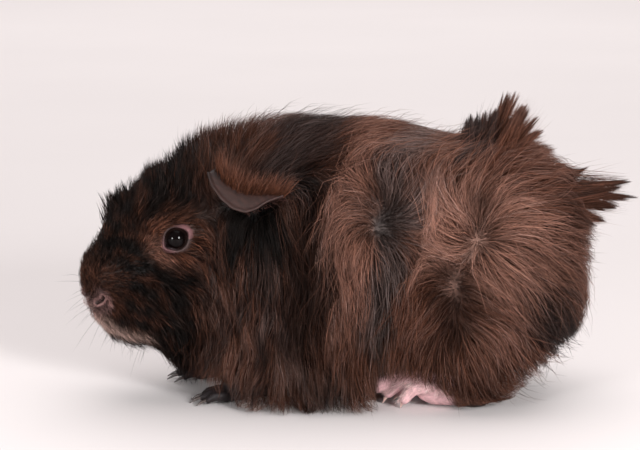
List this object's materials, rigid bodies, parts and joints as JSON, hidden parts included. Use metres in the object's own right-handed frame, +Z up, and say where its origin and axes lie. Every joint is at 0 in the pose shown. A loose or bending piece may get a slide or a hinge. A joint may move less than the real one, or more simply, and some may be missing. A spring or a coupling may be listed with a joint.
{
  "type": "guinea pig",
  "caption": "Still life-size model of a rough-coated Abyssinian guinea pig, crouched on all four feet with its head turned slightly.",
  "frame": {"origin": "on the floor, in the middle of the flat where the belly coat rests", "axes": "+X from the nose to the rump, +Y to the animal's right side, +Z up"},
  "size_m": [0.2258, 0.1064, 0.127],
  "materials": {
    "coat_dark": "long rough black-brown hair with a soft gloss",
    "coat_brown": "long rough chocolate hair in whorls",
    "coat_warm": "long warm brown hair in whorls",
    "ear_skin": "thin grey-brown skin with very short hair",
    "forefoot_skin": "black skin with short hair and dark claws",
    "hindfoot_skin": "bare pink skin with pale claws",
    "eye": "wet black"
  },
  "bodies": {
    "root": {"head": "coat_dark", "lower_jaw": "coat_dark", "crown_tuft": "coat_dark", "neck": "coat_brown", "chest": "coat_brown", "trunk": "coat_brown", "rump_crest": "coat_brown", "hindquarters": "coat_warm", "tail_tuft": "coat_brown", "hindleg_left": "coat_warm", "hindleg_right": "coat_warm", "foreleg_left": "coat_dark", "foreleg_right": "coat_dark", "forefoot_left": "forefoot_skin", "forefoot_right": "forefoot_skin", "hindfoot_left": "hindfoot_skin", "hindfoot_right": "hindfoot_skin", "ear_left": "ear_skin", "ear_right": "ear_skin", "eye_left": "eye", "eye_right": "eye"}
  },
  "joints": []
}
